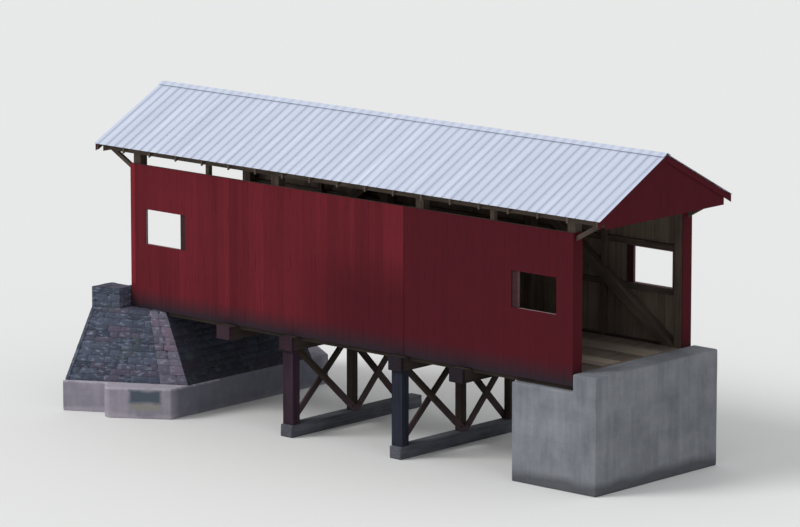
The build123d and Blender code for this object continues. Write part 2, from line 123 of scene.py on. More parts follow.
def patched(tree, place, tone, low, high, inner, soft=0.01, ragged=0.0):
    """The tone with another one inside a box of object space, its edge soft and ragged."""
    middle = [(a + b) / 2 for a, b in zip(low, high)]
    half = [(b - a) / 2 for a, b in zip(low, high)]
    offset = add(tree, VECTOR_MATH, [place, middle], "SUBTRACT")
    away = add(tree, VECTOR_MATH, [offset], "ABSOLUTE")
    outside = add(tree, VECTOR_MATH, [away, half], "SUBTRACT")
    x, y, z = add(tree, "ShaderNodeSeparateXYZ", [outside]).outputs
    most = add(tree, MATH, [x, y], "MAXIMUM")
    most = add(tree, MATH, [most, z], "MAXIMUM")
    drift = add(tree, "ShaderNodeTexNoise", {"Vector": place, "Scale": 5.0, "Detail": 4.0})
    edge = add(tree, MATH, [drift, ragged, most], "MULTIPLY_ADD")
    return blend(tree, tone, inner, edge, ragged / 2 + soft, ragged / 2 - soft)


def cast_concrete(name, dark, pale, foot, foot_top, patches=()):
    """Concrete poured between sawn boards. The eye sees soft clouds of grey, rain streaks, the
    level lines of the boards, a fine gritty face, and a foot that water has stained or crusted."""
    material, tree, place = new_material(name)
    clouding = {"Vector": place, "Scale": 1.1, "Detail": 7.0, "Roughness": 0.62}
    clouds = add(tree, "ShaderNodeTexNoise", clouding)
    runs = drawn_out(tree, place, (6.0, 6.0, 0.6), 5.0)
    mottle = add(tree, MATH, [clouds, 2.4, runs], "MULTIPLY_ADD")
    tone = blend(tree, dark, pale, mottle, 1.2, 2.2)
    level = add(tree, "ShaderNodeSeparateXYZ", [place]).outputs["Z"]
    lapping = add(tree, MATH, [clouds, -0.5, level], "MULTIPLY_ADD")
    tone = blend(tree, tone, foot, lapping, foot_top - 0.13, foot_top - 0.33, 0.8)
    for low, high, colour, soft in patches:
        tone = patched(tree, place, tone, low, high, colour, soft, ragged=0.12)
    # Grit is 2 to 8 mm in the real one and is drawn at about 20 mm, so that it shows
    grit = add(tree, "ShaderNodeTexNoise", {"Vector": place, "Scale": 50.0, "Detail": 3.0})
    # Thin fins stand where two boards of the form met
    seam = add(tree, MATH, [level, FORM_BOARD / 2], "PINGPONG")
    fin = add(tree, "ShaderNodeMapRange", {"Value": seam, "From Max": 0.008, "To Min": 1.3, "To Max": 0.0})
    relief = add(tree, MATH, [runs, 1.5, grit], "MULTIPLY_ADD")
    relief = add(tree, MATH, [relief, fin])
    surface(tree, tone, roughness=0.9, specular=0.25, relief=relief, strength=0.5, depth=0.006)
    return material


def make_object(name, mesh):
    """A new object at the origin in the scene."""
    made_object = bpy.data.objects.new(name, mesh)
    bpy.context.scene.collection.objects.link(made_object)
    return made_object


def plain_mesh(maker):
    """The maker's mesh with its modifiers worked out. The maker itself is removed."""
    graph = bpy.context.evaluated_depsgraph_get()
    finished = maker.evaluated_get(graph)
    mesh = bpy.data.meshes.new_from_object(finished, preserve_all_data_layers=True, depsgraph=graph)
    maker.modifiers.clear()
    bpy.data.objects.remove(maker)
    return mesh


def worn_copy(name, voxel, wear, hollows, material):
    """The named block with worn arrises, and hollows of so many to a metre, inside the old faces."""
    solid = bmesh.new()
    solid.from_mesh(nodes[name].data)
    bmesh.ops.remove_doubles(solid, verts=solid.verts, dist=0.0001)
    block = bpy.data.meshes.new(name + "_block")
    solid.to_mesh(block)
    solid.free()
    maker = make_object("maker", block)
    remesh = maker.modifiers.new("even mesh", "REMESH")
    remesh.mode = "VOXEL"
    remesh.voxel_size = voxel
    remesh.use_smooth_shade = True
    mesh = plain_mesh(maker)
    low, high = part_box(name)
    normals = [vertex.normal.copy() for vertex in mesh.vertices]
    for vertex, normal in zip(mesh.vertices, normals):
        spot = vertex.co.copy()
        if abs(normal.z) < 0.9:
            hollow = 0.5 + 0.5 * noise.noise(spot * hollows)
            spot -= normal * wear * hollow
        vertex.co = [min(max(c, a), b) for c, a, b in zip(spot, low, high)]
    mesh.materials.clear()
    mesh.materials.append(material)
    return mesh


def piece(name, meshes, material_slot, *replaced):
    """Joins meshes into one piece at the origin that rides on the bridge."""
    whole = bmesh.new()
    materials = []
    for mesh in meshes:
        indices = []
        for material in mesh.materials:
            if material not in materials:
                materials.append(material)
            indices.append(materials.index(material))
        before = len(whole.faces)
        whole.from_mesh(mesh)
        whole.faces.ensure_lookup_table()
        for face in whole.faces[before:]:
            face.material_index = indices[face.material_index] if indices else 0
    joined = bpy.data.meshes.new(name)
    whole.to_mesh(joined)
    whole.free()
    for material in materials:
        joined.materials.append(material)
    made_piece = make_object(name, joined)
    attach(made_piece, "root")
    if replaced:
        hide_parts(*replaced)
    return made_piece


footing_patches = (SHADED_FRONT, PALE_EDGE, SEEP_RIM, SEEP_STAIN)
footing_concrete = cast_concrete(
    "water stained poured concrete", FOOTING_DARK, FOOTING_PALE, FOOTING_CRUST, CRUST_TOP, footing_patches
)
footing_mesh = worn_copy("west_footing", FOOTING_VOXEL, FOOTING_WEAR, FOOTING_HOLLOWS, footing_concrete)
piece("worn_footing", [footing_mesh], "concrete", "west_footing")


# Stone abutment and wings. Split sandstone laid dry in rough courses over a core of small stone and
# earth, with larger dressed quoins at the two front corners and flat slabs on the tops.
# Colours of each kind of stone: dark and pale beds, a rosy stone here and there, and flecks
RUBBLE = ("#363b48", "#505767", "#574e5e", "#7f889b")
QUOIN = ("#4d4b58", "#6b6878", "#6f5f6e", "#8b8796")
# The stones of the front under the bridge are darker, partly for damp and partly as painted shade
DAMP_AND_SHADE = ("#22252d", "#353944", "#332b35", "#3d424d")
LICHEN = "#4a5250"
JOINT_EARTH = "#26262b"
JOINT_STONE = "#4a4a52"
STONE_PROUD = 0.022
STONE_DEPTH = 0.12
STONE_JOINT = 0.008
STONE_ROUGH = 0.042
COURSE = 0.17
STONE_LENGTH = 0.40
QUOIN_LENGTH = 0.75
QUOIN_COURSES = 9
# The least and the most of a course's height and of a stone's length, against the others'
COURSE_SHARES = (0.75, 1.3)
STONE_SHARES = (0.55, 1.5)
NEAR_WING_SEED = 20
FAR_WING_SEED = 40
FRONT_SEED = 60
REAR_SEED = 80
ABUTMENT_FOOT = 0.80
SEAT = 2.50
WING_SHOULDER = 2.60
BACKWALL_TOP = 2.95
WING_TOP = 3.12
REAR_X = -8.30
STEP_X = -7.54
STEM_HALF_WIDTH = 2.20
FOOT_FRONT = (-5.40, -2.35)
HEAD_FRONT = (-6.29, -2.23)
FOOT_REAR = (REAR_X, -3.95)
HEAD_REAR = (REAR_X, -2.93)


def split_stone(name, dark, pale, rosy, fleck):
    """Split sandstone. The eye sees a grey of its own on each stone, here and there a rosy one,
    rough split faces with pale flecks, and a few blotches of lichen."""
    material, tree, place = new_material(name)
    tint = add(tree, "ShaderNodeAttribute", attribute_name="stone_tint").outputs["Fac"]
    bedding = drawn_out(tree, place, (3.0, 3.0, 9.0), 8.0, Roughness=0.7)
    mottle = add(tree, MATH, [tint, 0.75, bedding], "MULTIPLY_ADD")
    tone = blend(tree, dark, pale, mottle, 0.35, 1.3)
    lot = add(tree, "ShaderNodeTexWhiteNoise", {"W": tint}, noise_dimensions="1D").outputs["Value"]
    tone = blend(tree, tone, rosy, lot, 0.55, 0.95, 0.85)
    growth = add(tree, "ShaderNodeTexNoise", {"Vector": place, "Scale": 2.3, "Detail": 6.0})
    tone = blend(tree, tone, LICHEN, growth, 0.60, 0.68, 0.5)
    breaks = drawn_out(tree, place, (6.0, 6.0, 17.0), 4.0)
    tone = blend(tree, tone, fleck, breaks, 0.54, 0.72, 0.75)
    grain = add(tree, "ShaderNodeTexNoise", {"Vector": place, "Scale": 22.0, "Detail": 6.0})
    surface(tree, tone, roughness=0.92, specular=0.2, relief=grain, strength=0.7, depth=0.015)
    return material


rubble = split_stone("split sandstone rubble", *RUBBLE)
quoin_stone = split_stone("dressed sandstone quoins", *QUOIN)
damp_and_shaded_stone = split_stone("damp sandstone in painted shade under the bridge", *DAMP_AND_SHADE)

# Earth and small stone packed in the joints: nearly black between the pale stones
joint_fill, tree, place = new_material("earth packed joints")
clods = add(tree, "ShaderNodeTexNoise", {"Vector": place, "Scale": 9.0, "Detail": 6.0})
tone = blend(tree, JOINT_EARTH, JOINT_STONE, clods, 0.35, 0.65)
surface(tree, tone, roughness=1.0, specular=0.1, relief=clods, strength=0.8, depth=0.02)
for core in ("west_abutment", "west_wing_near", "west_wing_far"):
    nodes[core].data.materials[0] = joint_fill


def new_tree(name, **inputs):
    """A geometry tree with named inputs, and the sockets that they come in by."""
    tree = bpy.data.node_groups.new(name, "GeometryNodeTree")
    tree.interface.new_socket(name="Geometry", in_out="OUTPUT", socket_type="NodeSocketGeometry")
    for input_name, kind in inputs.items():
        tree.interface.new_socket(name=input_name, in_out="INPUT", socket_type="NodeSocket" + kind)
    return tree, tree.nodes.new("NodeGroupInput").outputs


def grow(tree, base, **values):
    """Runs a geometry tree on a mesh, or on none, and returns the plain mesh that it makes."""
    maker = make_object("maker", base or bpy.data.meshes.new("empty"))
    modifier = maker.modifiers.new("grow", "NODES")
    modifier.node_group = tree
    for item in tree.interface.items_tree:
        if item.item_type == "SOCKET" and item.name in values:
            modifier[item.identifier] = values[item.name]
    return plain_mesh(maker)


def with_random(tree, points, name, least, most, seed):
    """The points, each with a random value of its own stored under a name."""
    value = add(tree, "FunctionNodeRandomValue", {"Min": least, "Max": most, "Seed": seed})
    return add(tree, "GeometryNodeStoreNamedAttribute", {"Geometry": points, "Name": name, "Value": value})


def shared_out(tree, name, count, least, most, seed, group=0):
    """Points that share out a length at random: the points, the share of each, and the sums of the
    shares before it and of all shares in its group."""
    points = with_random(tree, add(tree, "GeometryNodePoints", {"Count": count}), name, least, most, seed)
    share = add(tree, "GeometryNodeInputNamedAttribute", {"Name": name})
    sums = add(tree, "GeometryNodeAccumulateField", {"Value": share, "Group ID": group})
    return points, share, sums.outputs["Trailing"], sums.outputs["Total"]


def set_out(tree, points, shape, **fields):
    """A shape set on every point, made into real geometry."""
    copies = {"Points": points, "Instance": shape, **fields}
    copies = add(tree, "GeometryNodeInstanceOnPoints", copies)
    return add(tree, "GeometryNodeRealizeInstances", {"Geometry": copies})


# Coursed stones on a four-sided patch of wall. The courses have random heights and the stones in
# each have random lengths, adding up to the patch. Each stone is pillowed, then roughened.
stones, made = new_tree(
    "coursed stones",
    foot_start="Vector", foot_end="Vector", head_start="Vector", head_end="Vector",
    courses="Int", row="Int", joint="Float", depth="Float", proud="Float", rough="Float",
    seed="Int", material="Material",
)
foot_start, foot_end, head_start, head_end = made[:4]
foot_run = add(stones, VECTOR_MATH, [foot_end, foot_start], "SUBTRACT")
wall_rise = add(stones, VECTOR_MATH, [head_start, foot_start], "SUBTRACT")
run_length = add(stones, VECTOR_MATH, [foot_run], "LENGTH").outputs["Value"]
rise_length = add(stones, VECTOR_MATH, [wall_rise], "LENGTH").outputs["Value"]
outward = add(stones, VECTOR_MATH, [foot_run, wall_rise], "CROSS_PRODUCT")
outward = add(stones, VECTOR_MATH, [outward], "NORMALIZE")

course_points, course_share, risen, whole_rise = shared_out(
    stones, "course_share", made["courses"], *COURSE_SHARES, made["seed"]
)
course_low = add(stones, MATH, [risen, whole_rise], "DIVIDE")
course_tall = add(stones, MATH, [course_share, whole_rise], "DIVIDE")
stone_count = add(stones, MATH, [made["courses"], made["row"]], "MULTIPLY")
course_index = add(stones, MATH, [add(stones, "GeometryNodeInputIndex"), 0.5])
course_index = add(stones, MATH, [course_index, made["row"]], "DIVIDE")
course_index = add(stones, MATH, [course_index], "FLOOR")
stone_seed = add(stones, MATH, [made["seed"], 101.0])
stone_points, stone_share, walked, whole_run = shared_out(
    stones, "stone_share", stone_count, *STONE_SHARES, stone_seed, course_index
)

half_share = add(stones, MATH, [stone_share, 0.5, walked], "MULTIPLY_ADD")
middle_u = add(stones, MATH, [half_share, whole_run], "DIVIDE")
length_u = add(stones, MATH, [stone_share, whole_run], "DIVIDE")
low_v, tall_v = [
    add(stones, "GeometryNodeSampleIndex", {"Geometry": course_points, "Value": v, "Index": course_index})
    for v in (course_low, course_tall)
]
middle_v = add(stones, MATH, [tall_v, 0.5, low_v], "MULTIPLY_ADD")
stone_x = add(stones, MATH, [middle_u, run_length], "MULTIPLY")
stone_z = add(stones, MATH, [middle_v, rise_length], "MULTIPLY")
half_depth = add(stones, MATH, [made["depth"], 0.5], "MULTIPLY")
stone_y = add(stones, MATH, [half_depth, made["proud"]], "SUBTRACT")
stone_spot = add(stones, "ShaderNodeCombineXYZ", [stone_x, stone_y, stone_z])
stone_long = add(stones, MATH, [length_u, run_length], "MULTIPLY")
stone_long = add(stones, MATH, [stone_long, made["joint"]], "SUBTRACT")
stone_tall = add(stones, MATH, [tall_v, rise_length], "MULTIPLY")
stone_tall = add(stones, MATH, [stone_tall, made["joint"]], "SUBTRACT")
stone_size = add(stones, "ShaderNodeCombineXYZ", [stone_long, made["depth"], stone_tall])
stone_points = add(stones, "GeometryNodeSetPosition", {"Geometry": stone_points, "Position": stone_spot})
tint_seed = add(stones, MATH, [made["seed"], 202.0])
stone_points = with_random(stones, stone_points, "stone_tint", 0.0, 1.0, tint_seed)

# A block whose front is pillowed: the rim is sunk back and the corners are drawn in
stone = add(stones, "GeometryNodeMeshCube", {"Vertices X": 5, "Vertices Y": 2, "Vertices Z": 4})
position = add(stones, "GeometryNodeInputPosition")
x, y, z = add(stones, "ShaderNodeSeparateXYZ", [position]).outputs
across = add(stones, MATH, [x], "ABSOLUTE")
upward = add(stones, MATH, [z], "ABSOLUTE")
rim = add(stones, MATH, [across, upward], "MAXIMUM")
sunk = add(stones, "ShaderNodeMapRange", [rim, 0.32, 0.5, 0.0, 0.14])
sunk = add(stones, "ShaderNodeCombineXYZ", {"Y": sunk})
corner = add(stones, MATH, [across, upward], "MULTIPLY")
corner = add(stones, "ShaderNodeMapRange", [corner, 0.15, 0.25, 0.0, -0.025])
drawn_in = add(stones, VECTOR_MATH, {0: position, "Scale": corner}, "SCALE")
on_face = add(stones, "FunctionNodeCompare", [y, 0.0], "LESS_THAN")
pillow = add(stones, VECTOR_MATH, [drawn_in, sunk])
stone = add(stones, "GeometryNodeSetPosition", {"Geometry": stone, "Selection": on_face, "Offset": pillow})
laid = set_out(stones, stone_points, stone, Scale=stone_size)

# The flat wall is then bent to the patch's four corners, and its faces knocked about
share_u = add(stones, MATH, [x, run_length], "DIVIDE")
share_v = add(stones, MATH, [z, rise_length], "DIVIDE")
on_foot, on_head = [
    add(stones, "ShaderNodeMix", {"Factor": share_u, "A": start, "B": end}, data_type="VECTOR")
    for start, end in ((foot_start, foot_end), (head_start, head_end))
]
on_wall = add(stones, "ShaderNodeMix", {"Factor": share_v, "A": on_foot, "B": on_head}, data_type="VECTOR")
inward = add(stones, MATH, [y, -1.0], "MULTIPLY")
inward = add(stones, VECTOR_MATH, {0: outward, "Scale": inward}, "SCALE")
on_wall = add(stones, VECTOR_MATH, [on_wall, inward])
laid = add(stones, "GeometryNodeSetPosition", {"Geometry": laid, "Position": on_wall})
breaking = {"Vector": position, "Scale": 5.5, "Detail": 3.0, "Roughness": 0.6}
knocks = add(stones, "ShaderNodeTexNoise", breaking).outputs["Color"]
knocks = add(stones, VECTOR_MATH, [knocks, (0.5, 0.5, 0.5)], "SUBTRACT")
knocks = add(stones, VECTOR_MATH, {0: knocks, "Scale": made["rough"]}, "SCALE")
laid = add(stones, "GeometryNodeSetPosition", {"Geometry": laid, "Offset": knocks})
laid = add(stones, "GeometryNodeSetMaterial", {"Geometry": laid, "Material": made["material"]})
add(stones, "NodeGroupOutput", {"Geometry": laid})


def coursed(corners, seed, material=rubble, courses=None, row=None, mirrored=False):
    """Stones on one patch, given foot start, foot end, head start and head end as seen from outside."""
    foot_start, foot_end, head_start, head_end = [Vector(corner) for corner in corners]
    rise = (head_start - foot_start).length
    run = max((foot_end - foot_start).length, (head_end - head_start).length)
    mesh = grow(
        stones,
        None,
        foot_start=foot_start, foot_end=foot_end, head_start=head_start, head_end=head_end,
        courses=courses or max(1, round(rise / COURSE)), row=row or max(1, round(run / STONE_LENGTH)),
        joint=STONE_JOINT, depth=STONE_DEPTH, proud=STONE_PROUD, rough=STONE_ROUGH,
        seed=seed, material=material,
    )
    if mirrored:
        mesh.transform(Matrix.Diagonal((1.0, -1.0, 1.0, 1.0)))
        mesh.flip_normals()
    return mesh


def between(start, end, share):
    """A point part of the way from one to another."""
    return tuple(a + (b - a) * share for a, b in zip(start, end))


# The near wing's corners: its outer face, the step in its top, and the slabs between it and the stem
wing_foot = (*FOOT_FRONT, ABUTMENT_FOOT)
wing_head = (*HEAD_FRONT, WING_SHOULDER)
wing_foot_rear = (*FOOT_REAR, ABUTMENT_FOOT)
wing_head_rear = (*HEAD_REAR, WING_SHOULDER)
step_share = (STEP_X - HEAD_FRONT[0]) / (HEAD_REAR[0] - HEAD_FRONT[0])
step_corner = between(wing_head, wing_head_rear, step_share)
step_top = (*step_corner[:2], WING_TOP)
step_inner = (STEP_X, -STEM_HALF_WIDTH, WING_SHOULDER)
step_top_inner = (STEP_X, -STEM_HALF_WIDTH, WING_TOP)
head_inner = (HEAD_FRONT[0], -STEM_HALF_WIDTH, WING_SHOULDER)
rear_top = (*HEAD_REAR, WING_TOP)
rear_inner = (REAR_X, -STEM_HALF_WIDTH, WING_TOP)
quoin_share = QUOIN_LENGTH / (Vector(wing_foot_rear) - Vector(wing_foot)).length
quoin_foot = between(wing_foot, wing_foot_rear, quoin_share)
quoin_head = between(wing_head, wing_head_rear, quoin_share)
wing_patches = (
    ((wing_foot_rear, quoin_foot, wing_head_rear, quoin_head), rubble, None, None),
    ((quoin_foot, wing_foot, quoin_head, wing_head), quoin_stone, QUOIN_COURSES, 2),
    ((wing_head_rear, step_corner, rear_top, step_top), rubble, 3, 2),
    ((step_corner, wing_head, step_inner, head_inner), rubble, 1, 3),
    ((rear_top, step_top, rear_inner, step_top_inner), rubble, 1, 2),
    ((step_corner, step_inner, step_top, step_top_inner), rubble, 3, 1),
)
stone_meshes = []
for seed, mirrored in ((NEAR_WING_SEED, False), (FAR_WING_SEED, True)):
    for index, (corners, material, courses, row) in enumerate(wing_patches):
        stone_meshes.append(coursed(corners, seed + index, material, courses, row, mirrored))

# The front under the bridge, up to the beam seat, with a quoin's length of larger stones at each end, all in
# a darker stone that is partly damp and partly painted shade
seat_share = (SEAT - ABUTMENT_FOOT) / (WING_SHOULDER - ABUTMENT_FOOT)
seat_corner = between(wing_foot, wing_head, seat_share)
front_lines = [(near, (near[0], -near[1], near[2])) for near in (wing_foot, seat_corner)]
front_share = QUOIN_LENGTH / (2 * abs(wing_foot[1]))
front_parts = (
    (0.0, front_share, QUOIN_COURSES, 1),
    (front_share, 1 - front_share, None, None),
    (1 - front_share, 1.0, QUOIN_COURSES, 1),
)
for index, (start, end, courses, row) in enumerate(front_parts):
    corners = [between(*line, share) for line in front_lines for share in (start, end)]
    stone_meshes.append(coursed(corners, FRONT_SEED + index, damp_and_shaded_stone, courses, row))


def rear_line(half_width, height):
    """A level line across the abutment's back, from its far end to its near end."""
    return (REAR_X, half_width, height), (REAR_X, -half_width, height)


rear_foot = rear_line(-FOOT_REAR[1], ABUTMENT_FOOT)
rear_shoulder = rear_line(-HEAD_REAR[1], WING_SHOULDER)
rear_top_line = rear_line(-HEAD_REAR[1], BACKWALL_TOP)
road_edge = [(x, y, BACKWALL_TOP) for y in (-STEM_HALF_WIDTH, STEM_HALF_WIDTH) for x in (REAR_X, STEP_X)]
stone_meshes.append(coursed((*rear_foot, *rear_shoulder), REAR_SEED))
stone_meshes.append(coursed((*rear_shoulder, *rear_top_line), REAR_SEED + 1, courses=2))
stone_meshes.append(coursed(road_edge, REAR_SEED + 2, courses=9, row=2))
piece("abutment_stones", stone_meshes, "abutment_stone")


# Concrete abutment at the other bank: newer than the stonework, poured in one block with a seat for
# the chords and a wall that holds back the road. Rain has run down its faces.
EAST_DARK = "#64676d"
EAST_PALE = "#82848a"
EAST_WET = "#45474b"
EAST_WET_TOP = 0.25
EAST_VOXEL = 0.045
EAST_WEAR = 0.010
EAST_HOLLOWS = 2.0

east_concrete = cast_concrete("rain streaked poured concrete", EAST_DARK, EAST_PALE, EAST_WET, EAST_WET_TOP)
east_mesh = worn_copy("east_abutment", EAST_VOXEL, EAST_WEAR, EAST_HOLLOWS, east_concrete)
piece("cast_abutment", [east_mesh], "concrete", "east_abutment")


# Two trestle bents in the stream. Squared sills lie on the bed, with three posts and a heavy cap on
# each, and crossed planks spiked and bolted to both faces of every bay. Old dark oak, never painted;
# its colours are made darker still as painted shade under the bridge.
# Each timber's colours are its dark and its pale grain. The near posts and cap ends have their own,
# given with the low and the high corner of the patch: the west ones reddish as painted sunlight, the
# east ones darker as painted shade.
# Weathered oak, its colours darkened as painted shade under the bridge
SHADE_DARKENED_OAK = ("#201a17", "#3f352f")
SILL_OAK = ("#3c3d44", "#65666e")
POST_LIGHT_AND_SHADE = (
    ((-2.2, -2.6, 0.3), (-1.4, -2.1, 2.3), ("#1b121a", "#392634")),
    ((1.5, -2.6, 0.3), (2.3, -2.1, 2.3), ("#0e1016", "#2a2e3e")),
)
CAP_LIGHT_AND_SHADE = (
    ((-2.1, -2.6, 2.2), (0.0, -2.42, 2.62), ("#20121a", "#38222e")),
    ((0.0, -2.6, 2.2), (2.2, -2.42, 2.62), ("#150f15", "#251c24")),
)
PLANK_PAINTED_LIGHT = "#5c4a50"
PLANK_LIGHT_FULL = 0.4
PLANK_LIGHT_TOP = 1.5
BENTS_X = (-1.80, 1.91)
PLANK_FACE = 0.150
SILL_VOXEL = 0.028
SILL_WEAR = 0.022
SILL_HOLLOWS = 3.5
# How the pattern is turned for a timber that lies along X, along Y, or stands up
LAY_X = (0.0, math.radians(90), 0.0)
LAY_Y = (math.radians(90), 0.0, 0.0)
LAY_Z = (0.0, 0.0, 0.0)
# Growth rings show every 3 to 6 mm in the real one, and here every 40 mm or so, to be seen
GRAIN_PER_METRE = (16.0, 16.0, 0.7)


def sawn_timber(name, colours, lay, roughness=0.88, tinted=False, mirrored=False, patches=()):
    """Sawn timber weathered bare. The eye sees long grain in streaks, broad lighter and darker
    lengths, and a furred face. lay turns the pattern so that its Z runs along the timber."""
    material, tree, place = new_material(name)
    if mirrored:
        place = add(tree, VECTOR_MATH, [place], "ABSOLUTE")
    turned = add(tree, "ShaderNodeMapping", {"Vector": place, "Rotation": lay})
    grain = drawn_out(tree, turned, GRAIN_PER_METRE, 6.0, Roughness=0.65, Distortion=0.4)
    broad = add(tree, "ShaderNodeTexNoise", {"Vector": place, "Scale": 0.9, "Detail": 3.0})
    mixed = add(tree, MATH, [broad, 0.7, grain], "MULTIPLY_ADD")
    top = 1.12
    if tinted:
        tint = add(tree, "ShaderNodeAttribute", attribute_name="board_tint").outputs["Fac"]
        mixed = add(tree, MATH, [tint, 0.7, mixed], "MULTIPLY_ADD")
        top = 1.5
    tone = blend(tree, *colours, mixed, 0.6, top)
    for low, high, patch_colours in patches:
        tone = patched(tree, place, tone, low, high, blend(tree, *patch_colours, mixed, 0.6, top))
    surface(tree, tone, roughness, specular=0.2, relief=grain, strength=0.55, depth=0.006)
    return material


def dress(material, *names, rounding=0.007):
    """Gives whole timbers their material and eases their arrises."""
    for name in names:
        timber = nodes[name]
        timber.data.materials[0] = material
        weld = timber.modifiers.new("joined faces", "WELD")
        weld.merge_threshold = 0.0001
        easing = timber.modifiers.new("eased arrises", "BEVEL")
        easing.width = rounding
        easing.segments = 2
        easing.limit_method = "ANGLE"


sill_oak = sawn_timber("water worn oak sill", SILL_OAK, LAY_Y)
sill_mesh = worn_copy("bent_sills", SILL_VOXEL, SILL_WEAR, SILL_HOLLOWS, sill_oak)
piece("worn_sills", [sill_mesh], "weathered_timber", "bent_sills")
dress(sawn_timber("weathered oak post", SHADE_DARKENED_OAK, LAY_Z, patches=POST_LIGHT_AND_SHADE), "bent_posts")
cap_oak = sawn_timber("weathered oak cap", SHADE_DARKENED_OAK, LAY_Y, patches=CAP_LIGHT_AND_SHADE)
dress(cap_oak, "bent_caps", rounding=0.012)

# The planks lean 41 to 45 degrees from level, one way on each face of a bent, and so does their
# grain. Low down they are paler and pinker, as painted light where the sun reaches in under the bridge.
PLANK_LEAN = math.radians(47)
BENT_FROM_MIDDLE = (BENTS_X[1] - BENTS_X[0]) / 2
plank_oak, tree, place = new_material("weathered oak bracing plank")
x, y, z = add(tree, "ShaderNodeSeparateXYZ", [place]).outputs
bent_side = add(tree, MATH, [x], "SIGN")
from_bent = add(tree, MATH, [bent_side, -BENT_FROM_MIDDLE, x], "MULTIPLY_ADD")
face_side = add(tree, MATH, [from_bent], "SIGN")
from_middle = add(tree, MATH, [y], "ABSOLUTE")
from_middle = add(tree, MATH, [from_middle, face_side], "MULTIPLY")
leaning = add(tree, "ShaderNodeCombineXYZ", [x, from_middle, z])
turned = add(tree, "ShaderNodeMapping", {"Vector": leaning, "Rotation": (PLANK_LEAN, 0.0, 0.0)})
grain = drawn_out(tree, turned, GRAIN_PER_METRE, 6.0)
tone = blend(tree, *SHADE_DARKENED_OAK, grain, 0.35, 0.65)
# Painted light: the planks turn paler and pinker towards their feet
tone = blend(tree, tone, PLANK_PAINTED_LIGHT, z, PLANK_LIGHT_TOP, PLANK_LIGHT_FULL, 0.7)
surface(tree, tone, roughness=0.88, specular=0.2, relief=grain, strength=0.55, depth=0.006)
dress(plank_oak, "bent_bracing_planks", rounding=0.004)

# Fasteners with a round washer under a many-sided head, set on the points of a mesh, each spun by
# chance and all turned to face one way
FULL_TURN = 6.283
WASHER_SIDES = 10
fasteners, made = new_tree(
    "headed fasteners",
    points="Geometry", sides="Int", head_radius="Float", head_height="Float",
    washer_radius="Float", washer_height="Float", turn="Vector", seed="Int", material="Material",
)
head_height = made["head_height"]
washer_height = made["washer_height"]
washer = add(
    fasteners,
    "GeometryNodeMeshCylinder",
    {"Vertices": WASHER_SIDES, "Radius": made["washer_radius"], "Depth": washer_height},
)
head = add(
    fasteners,
    "GeometryNodeMeshCylinder",
    {"Vertices": made["sides"], "Radius": made["head_radius"], "Depth": head_height},
)
lift = add(fasteners, MATH, [head_height, 0.5, washer_height], "MULTIPLY_ADD")
lift = add(fasteners, "ShaderNodeCombineXYZ", {"Z": lift})
head = add(fasteners, "GeometryNodeSetPosition", {"Geometry": head, "Offset": lift})
fastener = add(fasteners, "GeometryNodeJoinGeometry", {"Geometry": washer})
fasteners.links.new(head.outputs["Geometry"], fastener.inputs["Geometry"])
spin = add(fasteners, "FunctionNodeRandomValue", {"Min": 0.0, "Max": FULL_TURN, "Seed": made["seed"]})
spun = add(fasteners, "FunctionNodeEulerToRotation", [add(fasteners, "ShaderNodeCombineXYZ", {"Z": spin})])
faced = add(fasteners, "FunctionNodeEulerToRotation", [made["turn"]])
facing = add(fasteners, "FunctionNodeRotateRotation", [faced, spun], rotation_space="LOCAL")
driven = set_out(fasteners, made["points"], fastener, Rotation=facing)
driven = add(fasteners, "GeometryNodeSetMaterial", {"Geometry": driven, "Material": made["material"]})
add(fasteners, "NodeGroupOutput", {"Geometry": driven})


def driven_in(places, turn, sides, head, washer, material, seed=1):
    """Fasteners at the given places. head and washer are (radius, height) in metres."""
    spots = bpy.data.meshes.new("spots")
    spots.from_pydata(places, [], [])
    return grow(
        fasteners,
        spots,
        sides=sides, head_radius=head[0], head_height=head[1],
        washer_radius=washer[0], washer_height=washer[1], turn=turn, seed=seed, material=material,
    )


# Forged iron, rusted through to brown: rough, and only a little metallic
RUST_DARK = "#2b1d18"
RUST_PALE = "#5b3524"
rusted_iron, tree, place = new_material("rusted forged iron")
scale = add(tree, "ShaderNodeTexNoise", {"Vector": place, "Scale": 60.0, "Detail": 4.0})
tone = blend(tree, RUST_DARK, RUST_PALE, scale, 0.35, 0.65)
surface(tree, tone, roughness=0.75, specular=0.4, metallic=0.3)

# Square-headed bolts through the planks, as (y, z) on a bent's west face. On its east face the
# planks lean the other way, so the bolts are turned over at half the bay's height.
BAY_MIDDLE = 1.285
WEST_FACE_BOLTS = (
    (-2.05, 0.44), (-1.08, BAY_MIDDLE), (-0.14, 2.12), (0.14, 2.10), (0.95, BAY_MIDDLE), (1.80, 0.42)
)
BOLT_HEAD = (0.024, 0.018)
BOLT_WASHER = (0.040, 0.006)
FACES_EAST = (0.0, math.radians(90), 0.0)
FACES_WEST = (0.0, math.radians(-90), 0.0)
FACES_FAR = (math.radians(-90), 0.0, 0.0)
FACES_NEAR = (math.radians(90), 0.0, 0.0)
bolt = (4, BOLT_HEAD, BOLT_WASHER, rusted_iron)
bent_bolts = []
for bent_x in BENTS_X:
    west_places = [(bent_x - PLANK_FACE, y, z) for y, z in WEST_FACE_BOLTS]
    east_places = [(bent_x + PLANK_FACE, y, 2 * BAY_MIDDLE - z) for y, z in WEST_FACE_BOLTS]
    bent_bolts.append(driven_in(west_places, FACES_WEST, *bolt))
    bent_bolts.append(driven_in(east_places, FACES_EAST, *bolt))
piece("bent_bolts", bent_bolts, "weathered_timber")


